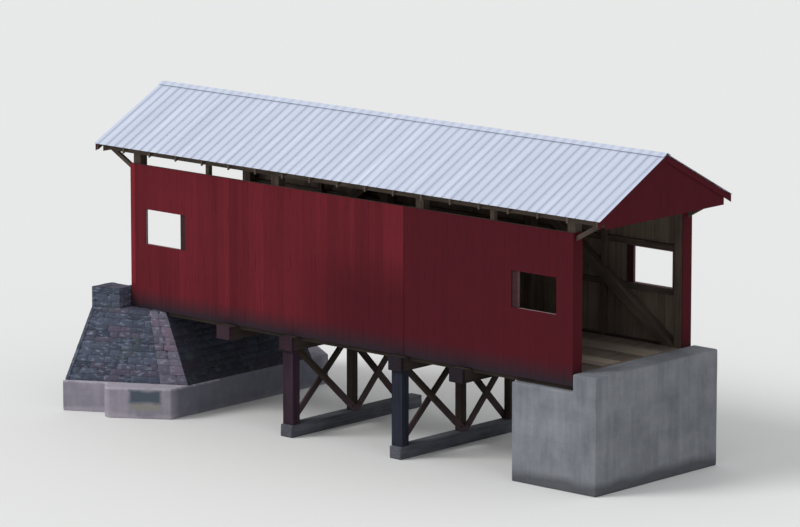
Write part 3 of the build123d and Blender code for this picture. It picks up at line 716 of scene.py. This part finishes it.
# Heavy floor beams hung under the chords, bed timbers on the abutments, and the stringers that
# carry the floor. All square-sawn oak. The beams' near ends stand out past the siding: the west one
# reddish as painted sunlight on its end, the east one darker as painted shade.
BEAM_LIGHT_AND_SHADE = (
    ((-4.3, -2.60, 2.2), (0.0, -2.45, 2.62), ("#26191f", "#3f2a34")),
    ((0.0, -2.60, 2.2), (4.3, -2.45, 2.62), ("#140e14", "#231a22")),
)
beam_oak = sawn_timber("weathered oak floor beam", SHADE_DARKENED_OAK, LAY_Y, patches=BEAM_LIGHT_AND_SHADE)
dress(beam_oak, "floor_beams", rounding=0.012)
dress(sawn_timber("oak bed timber", SHADE_DARKENED_OAK, LAY_Y), "bed_timbers")
dress(sawn_timber("oak stringer", SHADE_DARKENED_OAK, LAY_X), "stringers", rounding=0.005)


# Deck and wheel tracks. Planks of 60 mm spiked across the stringers, and two runs of planks laid
# lengthwise on them where wheels go. Bare wood, grey-brown, polished and pale along the tracks.
DECK_LENGTH = 14.98
DECK_HALF_WIDTH = 1.92
DECK_TOP = 2.91
DECK_THICKNESS = 0.06
DECK_PLANK = 0.22
DECK_GAP = 0.008
DECK_SEED = 3
DECK_PINE = ("#4d433c", "#83766a")
TRACK_INNER = 0.43
TRACK_WIDTH = 0.75
TRACK_PLANK = 0.19
TRACK_THICKNESS = 0.05
TRACK_RUNS = 4
TRACK_GAP = 0.007
TRACK_END_GAP = 0.006
TRACK_UNEVEN = 0.004
TRACK_SEED = 31
TRACK_PINE = ("#5f544b", "#978a7d")
BOARD_SHARES = (0.78, 1.22)

# A row of boards laid along X and standing in Z: random widths that add up to the row's length,
# a gap between neighbours, each board a little in or out and longer or shorter at its foot
board_row, made = new_tree(
    "row of boards",
    length="Float", height="Float", thickness="Float", count="Int", gap="Float", uneven="Float",
    ragged="Float", seed="Int", face="Material", back="Material",
)
row_points, share, running, whole_row = shared_out(
    board_row, "board_share", made["count"], *BOARD_SHARES, made["seed"]
)
tint_seed, depth_seed, foot_seed = [
    add(board_row, MATH, [made["seed"], further]) for further in (13.0, 5.0, 7.0)
]
row_points = with_random(board_row, row_points, "board_tint", 0.0, 0.5, tint_seed)
depth = add(board_row, "FunctionNodeRandomValue", {"Min": 0.0, "Max": made["uneven"], "Seed": depth_seed})
foot = add(board_row, "FunctionNodeRandomValue", {"Min": 0.0, "Max": made["ragged"], "Seed": foot_seed})
middle = add(board_row, MATH, [share, 0.5, running], "MULTIPLY_ADD")
unit = add(board_row, MATH, [made["length"], whole_row], "DIVIDE")
board_x = add(board_row, MATH, [middle, unit], "MULTIPLY")
tall = add(board_row, MATH, [made["height"], foot], "SUBTRACT")
board_y = add(board_row, MATH, [made["thickness"], 0.5, depth], "MULTIPLY_ADD")
board_z = add(board_row, MATH, [tall, 0.5, foot], "MULTIPLY_ADD")
spot = add(board_row, "ShaderNodeCombineXYZ", [board_x, board_y, board_z])
row_points = add(board_row, "GeometryNodeSetPosition", {"Geometry": row_points, "Position": spot})
wide = add(board_row, MATH, [share, unit], "MULTIPLY")
wide = add(board_row, MATH, [wide, made["gap"]], "SUBTRACT")
board_size = add(board_row, "ShaderNodeCombineXYZ", [wide, made["thickness"], tall])
nailed = set_out(board_row, row_points, add(board_row, "GeometryNodeMeshCube"), Scale=board_size)
nailed = add(board_row, "GeometryNodeSetMaterial", {"Geometry": nailed, "Material": made["face"]})
x, y, z = add(board_row, "ShaderNodeSeparateXYZ", [add(board_row, "GeometryNodeInputNormal")]).outputs
behind = add(board_row, "FunctionNodeCompare", [y, 0.5])
backing = {"Geometry": nailed, "Selection": behind, "Material": made["back"]}
nailed = add(board_row, "GeometryNodeSetMaterial", backing)
add(board_row, "NodeGroupOutput", {"Geometry": nailed})


def boards(length, height, thickness, width, seed, face, back=None, gap=0.002, uneven=0.003, ragged=0.0):
    """One row of boards from the origin along +X and up +Z, its back towards +Y. Unevenness is
    taken off the boards, so that none stands out past the thickness."""
    return grow(
        board_row,
        None,
        length=length, height=height, thickness=thickness - uneven, count=max(1, round(length / width)),
        gap=gap, uneven=uneven, ragged=ragged, seed=seed, face=face, back=back or face,
    )


deck_pine = sawn_timber("trodden pine deck plank", DECK_PINE, LAY_Y, tinted=True)
track_pine = sawn_timber("wheel worn pine track plank", TRACK_PINE, LAY_X, roughness=0.7, tinted=True)
deck_row = boards(
    DECK_LENGTH, 2 * DECK_HALF_WIDTH, DECK_THICKNESS, DECK_PLANK, DECK_SEED, deck_pine, gap=DECK_GAP
)
laid_flat = Matrix.Rotation(math.radians(-90), 4, "X")
deck_row.transform(Matrix.Translation((-DECK_LENGTH / 2, -DECK_HALF_WIDTH, DECK_TOP)) @ laid_flat)
piece("deck_planks", [deck_row], "weathered_timber", "deck")
lengthwise = Matrix(((0, 0, 1, 0), (-1, 0, 0, 0), (0, -1, 0, 0), (0, 0, 0, 1)))
track_length = DECK_LENGTH / TRACK_RUNS
track_rows = []
for track in (TRACK_INNER + TRACK_WIDTH, -TRACK_INNER):
    for run in range(TRACK_RUNS):
        seed = TRACK_SEED + run + round(10 * abs(track))
        row = boards(
            TRACK_WIDTH, track_length - TRACK_END_GAP, TRACK_THICKNESS, TRACK_PLANK, seed, track_pine,
            gap=TRACK_GAP, uneven=TRACK_UNEVEN,
        )
        start = (-DECK_LENGTH / 2 + run * track_length, track, DECK_TOP + TRACK_THICKNESS)
        row.transform(Matrix.Translation(start) @ lengthwise)
        track_rows.append(row)
piece("track_planks", track_rows, "weathered_timber", "runner_planks")


# Queenpost trusses and the plates and ties over them. Ten-inch pine, sawn and framed with housed
# joints, gone brown-grey under the roof, where rain never reaches it, and coloured darker still as
# painted shade.
SHADE_DARKENED_PINE = ("#372e29", "#63564c")
BRACE_TOE = Vector((7.05, 2.90))
BRACE_HEAD = Vector((2.575, 6.15))
BRACE_LEAN = math.atan2(BRACE_TOE.x - BRACE_HEAD.x, BRACE_HEAD.y - BRACE_TOE.y)


def both(name):
    """The near and the far piece of a name."""
    return name + "_near", name + "_far"


pine_along = sawn_timber("aged pine timber lengthwise", SHADE_DARKENED_PINE, LAY_X)
pine_across = sawn_timber("aged pine timber crosswise", SHADE_DARKENED_PINE, LAY_Y)
pine_upright = sawn_timber("aged pine upright timber", SHADE_DARKENED_PINE, LAY_Z)
pine_leaning = sawn_timber("aged pine leaning timber", SHADE_DARKENED_PINE, (0.0, BRACE_LEAN, 0.0), mirrored=True)
# The bottom chords take the darkest oak as painted shade behind the siding's foot
dress(sawn_timber("dark oak chord in painted shade", SHADE_DARKENED_OAK, LAY_X), *both("bottom_chord"))
dress(pine_along, *both("straining_beam"), *both("eave_plate"))
dress(pine_upright, *both("truss_posts"))
dress(pine_leaning, *both("truss_braces"))
dress(pine_across, "cross_ties", rounding=0.005)

# Bolts through the trusses' joints, as (x, z) from the bridge's middle, their heads on the inner face
TRUSS_INNER = 1.935
JOINT_BOLTS = ((6.82, 2.98), (6.62, 3.10), (2.50, 6.00), (2.40, 6.10), (2.25, 6.20), (2.45, 3.05))
joint_places = [(end * x, z) for end in (-1, 1) for x, z in JOINT_BOLTS]
truss_bolts = []
for y, turn, seed in ((-TRUSS_INNER, FACES_FAR, 4), (TRUSS_INNER, FACES_NEAR, 5)):
    truss_bolts.append(driven_in([(x, y, z) for x, z in joint_places], turn, *bolt, seed=seed))
piece("truss_bolts", truss_bolts, "weathered_timber")


# Girts, four to a side, spiked flat on the trusses' outer faces for the siding to be nailed to
dress(pine_along, *both("girts"), rounding=0.004)


# Boarded side walls. Rough pine boards stand side by side, nailed to the girts and painted barn red
# on the outside only. The two windows are framed out between short boards.
WALL_END = 7.49
WALL_FACE = 2.285
WALL_FOOT = 2.61
WALL_HEAD = 6.39
WINDOW_INNER = 5.53
WINDOW_OUTER = 6.96
WINDOW_SILL = 4.32
WINDOW_HEAD = 5.24
BOARD = 0.025
BOARD_WIDTH = 0.23
WIDE_SEAM_X = 2.01
WIDE_SEAM = 0.014
SEAM_SOFT = 0.02
RAGGED_FOOT = 0.018
PAINT_DARK = "#4a131b"
PAINT_LIGHT = "#6c1f28"
PAINT_FRESH = "#5c111b"
PAINT_DARKER_AND_SHADED = "#46111a"
PAINT_BRIGHT = "#76202b"
PAINT_WORN = "#282128"
PAINT_CRACK = "#26090e"
WORN_FULL = 2.75
WORN_TOP = 3.22
FRESH_START = 4.4
FRESH_FULL = 6.4
SHADE_START = -2.4
SHADE_FULL = 0.4
SHADE_LOW = 3.9
SHADE_TOP = 5.5
BRIGHT_EDGE = 0.15
WALL_SEEDS = {"near": 11, "far": 41}
BARE_PINE = ("#4f4339", "#857669")

# Barn red oil paint on rough-sawn pine: chalky and dull, each board a shade of its own, streaked by
# rain down its length, worn to a greyish brown where the splashes reach
barn_paint, tree, place = new_material("barn red paint on rough sawn pine")
tint = add(tree, "ShaderNodeAttribute", attribute_name="board_tint").outputs["Fac"]
streaks = drawn_out(tree, place, (9.0, 9.0, 0.35), 5.0, Roughness=0.6)
blotches = drawn_out(tree, place, (0.35, 0.35, 0.5), 3.0)
shade = add(tree, MATH, [streaks, 0.45, tint], "MULTIPLY_ADD")
shade = add(tree, MATH, [blotches, 0.6, shade], "MULTIPLY_ADD")
tone = blend(tree, PAINT_DARK, PAINT_LIGHT, shade, 0.2, 1.3)
x, y, z = add(tree, "ShaderNodeSeparateXYZ", [place]).outputs
tone = blend(tree, tone, PAINT_FRESH, x, FRESH_START, FRESH_FULL, 0.5)
# The paint is darker past the wide seam, and low on the wall before it, where it is darkened as painted
# shade from a tree's shadow
past_seam = add(tree, "ShaderNodeMapRange", [x, WIDE_SEAM_X - SEAM_SOFT, WIDE_SEAM_X + SEAM_SOFT])
toward_seam = add(
    tree, "ShaderNodeMapRange", [x, SHADE_START, SHADE_FULL], interpolation_type="SMOOTHSTEP"
)
low_down = add(
    tree, "ShaderNodeMapRange", [z, SHADE_LOW, SHADE_TOP, 1.0, 0.0], interpolation_type="SMOOTHSTEP"
)
low_before = add(tree, MATH, [toward_seam, low_down], "MULTIPLY")
seam_paint_and_shade = add(tree, MATH, [past_seam, low_before], "MAXIMUM")
tone = blend(tree, tone, PAINT_DARKER_AND_SHADED, seam_paint_and_shade, 0.0, 1.0, 0.9)
splashed = add(tree, MATH, [streaks, 0.14, z], "MULTIPLY_ADD")
tone = blend(tree, tone, PAINT_WORN, splashed, WORN_TOP, WORN_FULL, 0.95)
# The west edge of the near wall is a brighter red
edge_low = (-WALL_END - 0.1, -WALL_FACE - 0.1, WORN_TOP)
edge_high = (-WALL_END + BRIGHT_EDGE, -WALL_FACE + 0.1, WALL_HEAD)
tone = patched(tree, place, tone, edge_low, edge_high, PAINT_BRIGHT)
# Drying cracks are hair fine in the real one, and drawn here about 10 mm wide
checks = drawn_out(tree, place, (55.0, 55.0, 1.3), 3.0)
tone = blend(tree, tone, PAINT_CRACK, checks, 0.60, 0.70, 0.55)
furred = drawn_out(tree, place, (90.0, 90.0, 3.0), 4.0)
surface(tree, tone, roughness=0.85, specular=0.1, relief=furred, strength=0.35, depth=0.002)

bare_pine = sawn_timber("bare brown pine board", BARE_PINE, LAY_Z, tinted=True)

# Panels of boards as (start, end, foot, head), broken by the windows and by one wide seam
wall_panels = [
    (-WALL_END, -WINDOW_OUTER, WALL_FOOT, WALL_HEAD),
    (-WINDOW_INNER, WIDE_SEAM_X, WALL_FOOT, WALL_HEAD),
    (WIDE_SEAM_X + WIDE_SEAM, WINDOW_INNER, WALL_FOOT, WALL_HEAD),
    (WINDOW_OUTER, WALL_END, WALL_FOOT, WALL_HEAD),
]
for start, end in ((-WINDOW_OUTER, -WINDOW_INNER), (WINDOW_INNER, WINDOW_OUTER)):
    wall_panels += [(start, end, WALL_FOOT, WINDOW_SILL), (start, end, WINDOW_HEAD, WALL_HEAD)]
for side, seed in WALL_SEEDS.items():
    rows = []
    for index, (start, end, foot, head) in enumerate(wall_panels):
        ragged = RAGGED_FOOT if foot == WALL_FOOT else 0.0
        row = boards(
            end - start, head - foot, BOARD, BOARD_WIDTH, seed + index, barn_paint, bare_pine, ragged=ragged
        )
        row.transform(Matrix.Translation((start, -WALL_FACE, foot)))
        if side == "far":
            row.transform(Matrix.Rotation(math.pi, 4, "Z"))
        rows.append(row)
    piece("siding_boards_" + side, rows, "painted_boards", "siding_" + side)


# Window linings. Bare boards nailed round each opening between the siding and the truss. Their pale
# colour is made paler as painted light on the shaded reveals, and the wide stile is dark as painted shade.
LINING_WITH_PAINTED_LIGHT = ("#775a5e", "#a2868a")
# The wide stile is coloured dark as painted shade
STILE_PAINTED_SHADE = ((5.50, 2.10, 4.30), (5.723, 2.30, 5.26), ("#251315", "#3c2124"))
lining_pine = sawn_timber("pale pine lining with painted light and shade", LINING_WITH_PAINTED_LIGHT, LAY_X, mirrored=True, patches=[STILE_PAINTED_SHADE])
dress(lining_pine, *both("window_linings"), rounding=0.003)


# Portal boards, painted with the walls, cover the end posts. Knee braces run from them out to the
# plates' ends, which carry the roof past the portals.
KNEE_RISE = 0.38
KNEE_REACH = 0.68
KNEE_LEAN = math.atan2(KNEE_REACH, KNEE_RISE)
dress(barn_paint, "portal_jamb_boards", rounding=0.003)
knee_pine = sawn_timber("weathered pine knee brace", SHADE_DARKENED_PINE, (0.0, -KNEE_LEAN, 0.0), mirrored=True)
dress(knee_pine, "overhang_braces", rounding=0.004)


# Rafters, purlins and the ridge board: rough one-inch and two-inch stock, dry and brown under the
# steel, coloured darker as painted shade. All slopes follow from the ridge and the eaves.
RIDGE_Z = 8.160
EAVE_Z = 6.830
EAVE_HALF_WIDTH = 2.563
SLOPE = math.atan2(RIDGE_Z - EAVE_Z, EAVE_HALF_WIDTH)
dress(pine_along, *both("purlins"), "ridge_board", rounding=0.003)
rafter_lay = (math.radians(90) - SLOPE, 0.0, 0.0)
rafter_pine = sawn_timber("rough pine rafter", SHADE_DARKENED_PINE, rafter_lay, mirrored=True)
dress(rafter_pine, *both("rafters"), rounding=0.003)


# Gables. Upright red boards close the roof's two ends above the plates, cut to its slope, with a
# rake board over their edges.
GABLE_FACE = 8.4794
GABLE_FOOT = 6.60
GABLE_HALF_WIDTH = 2.285
GABLE_PEAK = 8.1285
GABLE_BOARD_WIDTH = 0.20
GABLE_GAP = 0.0006
EAST_GABLE_SEED = 71
WEST_GABLE_SEED = 72


def gable_boards(seed):
    """The east gable: a row of boards cut off along both slopes, its face towards +X."""
    width = 2 * GABLE_HALF_WIDTH
    height = GABLE_PEAK - GABLE_FOOT
    row = boards(width, height, BOARD, GABLE_BOARD_WIDTH, seed, barn_paint, bare_pine, gap=GABLE_GAP)
    turned_east = Matrix.Rotation(math.radians(90), 4, "Z")
    row.transform(Matrix.Translation((GABLE_FACE, -GABLE_HALF_WIDTH, GABLE_FOOT)) @ turned_east)
    solid = bmesh.new()
    solid.from_mesh(row)
    for side in (-1, 1):
        everything = solid.verts[:] + solid.edges[:] + solid.faces[:]
        peak = (0.0, 0.0, GABLE_PEAK)
        upward = (0.0, side * math.sin(SLOPE), math.cos(SLOPE))
        cut = bmesh.ops.bisect_plane(
            solid, geom=everything, plane_co=peak, plane_no=upward, clear_outer=True
        )
        rim = [part for part in cut["geom_cut"] if isinstance(part, bmesh.types.BMEdge)]
        bmesh.ops.edgeloop_fill(solid, edges=rim)
    bmesh.ops.recalc_face_normals(solid, faces=solid.faces)
    solid.to_mesh(row)
    solid.free()
    return row


piece("gable_boards_east", [gable_boards(EAST_GABLE_SEED)], "painted_boards", "gable_east")
west_gable = gable_boards(WEST_GABLE_SEED)
west_gable.transform(Matrix.Rotation(math.pi, 4, "Z"))
piece("gable_boards_west", [west_gable], "painted_boards", "gable_west")
dress(barn_paint, "rake_boards", rounding=0.004)


# Roof of galvanised steel sheets, two feet wide with a rolled rib to every foot, screwed to the
# purlins through the flats. The ridge cap is folded from the same stock.
STEEL = "#c9d0e2"
STEEL_DULL = "#bec5d6"
STEEL_BRIGHT = "#d8deec"
STEEL_RIB_DIRT_AND_SHADE = "#9ea3b3"
SHEET_COVER = 0.6096
RIB_SPACING = 0.3048
ROOF_END = 8.5344
SCREW_LINES = (0.065, 0.737, 1.410, 2.080, 2.700)
SCREW_FROM_RIB = 0.045
RIB_DARK_START = 0.110
RIB_DARK_FULL = 0.020
SCREW_HEAD = (0.008, 0.007)
SCREW_WASHER = (0.014, 0.003)

# Galvanised sheet, years old: zinc gone pale and dull, each sheet a shade off the next, faint
# stains washed down the slope, a darker line along the ribs that is partly dirt and partly painted shade of
# the ribs, and a soft broad shine
steel_sheet, tree, place = new_material("dull galvanised sheet steel")
along = add(tree, "ShaderNodeSeparateXYZ", [place]).outputs["X"]
from_end = add(tree, MATH, [along, ROOF_END])
sheet = add(tree, MATH, [from_end, SHEET_COVER], "DIVIDE")
sheet = add(tree, MATH, [sheet], "FLOOR")
sheet_shade = add(tree, "ShaderNodeTexWhiteNoise", {"W": sheet}, noise_dimensions="1D").outputs["Value"]
wash = drawn_out(tree, place, (5.0, 0.5, 0.5), 6.0)
mottle = add(tree, MATH, [sheet_shade, 0.2, wash], "MULTIPLY_ADD")
tone = blend(tree, STEEL_DULL, STEEL, mottle, 0.25, 0.70)
tone = blend(tree, tone, STEEL_BRIGHT, mottle, 0.70, 1.0)
near_rib = add(tree, MATH, [from_end, RIB_SPACING / 2], "PINGPONG")
rib_dark_start = RIB_SPACING / 2 - RIB_DARK_START
rib_dark_full = RIB_SPACING / 2 - RIB_DARK_FULL
tone = blend(
    tree, tone, STEEL_RIB_DIRT_AND_SHADE, near_rib, rib_dark_start, rib_dark_full, 0.35, interpolation_type="SMOOTHSTEP"
)
dents = add(tree, "ShaderNodeTexNoise", {"Vector": place, "Scale": 3.0, "Detail": 2.0})
surface(tree, tone, roughness=0.5, specular=0.4, relief=dents, strength=0.2, depth=0.01, metallic=0.35)
for sheets in (*both("roof_sheets"), "ridge_cap"):
    nodes[sheets].data.materials[0] = steel_sheet

# Hexagon-headed screws beside every rib, in lines up the slope over the purlins
rib_count = round(2 * ROOF_END / RIB_SPACING)
screw_places = []
for line in SCREW_LINES:
    for rib in range(rib_count):
        x = -ROOF_END + RIB_SPACING * (rib + 0.5) + SCREW_FROM_RIB
        y = -EAVE_HALF_WIDTH + line * math.cos(SLOPE)
        screw_places.append((x, y, EAVE_Z + line * math.sin(SLOPE)))
near_screws = driven_in(screw_places, (SLOPE, 0.0, 0.0), 6, SCREW_HEAD, SCREW_WASHER, steel_sheet)
far_screws = near_screws.copy()
far_screws.transform(Matrix.Diagonal((1.0, -1.0, 1.0, 1.0)))
far_screws.flip_normals()
piece("roof_screws", [near_screws, far_screws], "roof_steel")


# Camera, light and floor: the photograph's own place and direction, closer in on the bridge
PHOTO_PLACE = Vector((86.703, -97.099, 29.375))
AIM = Vector((-0.15, 0.0, 4.35))
LENS = 235.0
SUN_DIRECTION = Vector((0.45, 0.62, -0.64))
SUN_STRENGTH = 1.6
SUN_BREADTH = math.radians(25)
SKY_LIGHT = 0.75
SKY = "#f4f6f8"
FLOOR = "#e6e6e4"
FLOOR_REACH = 400

camera_data = bpy.data.cameras.new("camera")
camera_data.sensor_width = 36.0
camera_data.lens = LENS
camera_data.clip_end = 2000.0
camera = make_object("camera", camera_data)
camera.location = PHOTO_PLACE
camera.rotation_mode = "QUATERNION"
camera.rotation_quaternion = (AIM - PHOTO_PLACE).to_track_quat("-Z", "Y")
bpy.context.scene.camera = camera

sun_data = bpy.data.lights.new("sun", "SUN")
sun_data.energy = SUN_STRENGTH
sun_data.angle = SUN_BREADTH
sun = make_object("sun", sun_data)
sun.rotation_mode = "QUATERNION"
sun.rotation_quaternion = SUN_DIRECTION.to_track_quat("-Z", "Y")

# The sky is white where it is seen or mirrored, and dimmer as a light
world = bpy.data.worlds.new("studio")
bpy.context.scene.world = world
world.use_nodes = True
tree = world.node_tree
tree.nodes.clear()
rays = add(tree, "ShaderNodeLightPath").outputs
seen = add(tree, MATH, [rays["Is Camera Ray"], rays["Is Glossy Ray"]], "MAXIMUM")
strength = add(tree, "ShaderNodeMapRange", {"Value": seen, "To Min": SKY_LIGHT, "To Max": 1.0})
sky = add(tree, "ShaderNodeBackground", {"Color": linear(SKY), "Strength": strength})
add(tree, "ShaderNodeOutputWorld", {"Surface": sky})

floor_paint, tree, place = new_material("pale matt studio floor")
surface(tree, linear(FLOOR), roughness=0.9, specular=0.3)
floor_mesh = bpy.data.meshes.new("floor")
floor_corners = [(FLOOR_REACH * x, FLOOR_REACH * y, 0) for x, y in ((-1, -1), (1, -1), (1, 1), (-1, 1))]
floor_mesh.from_pydata(floor_corners, [], [(0, 1, 2, 3)])
floor_mesh.materials.append(floor_paint)
make_object("floor", floor_mesh)

bpy.context.scene.view_settings.view_transform = "Standard"
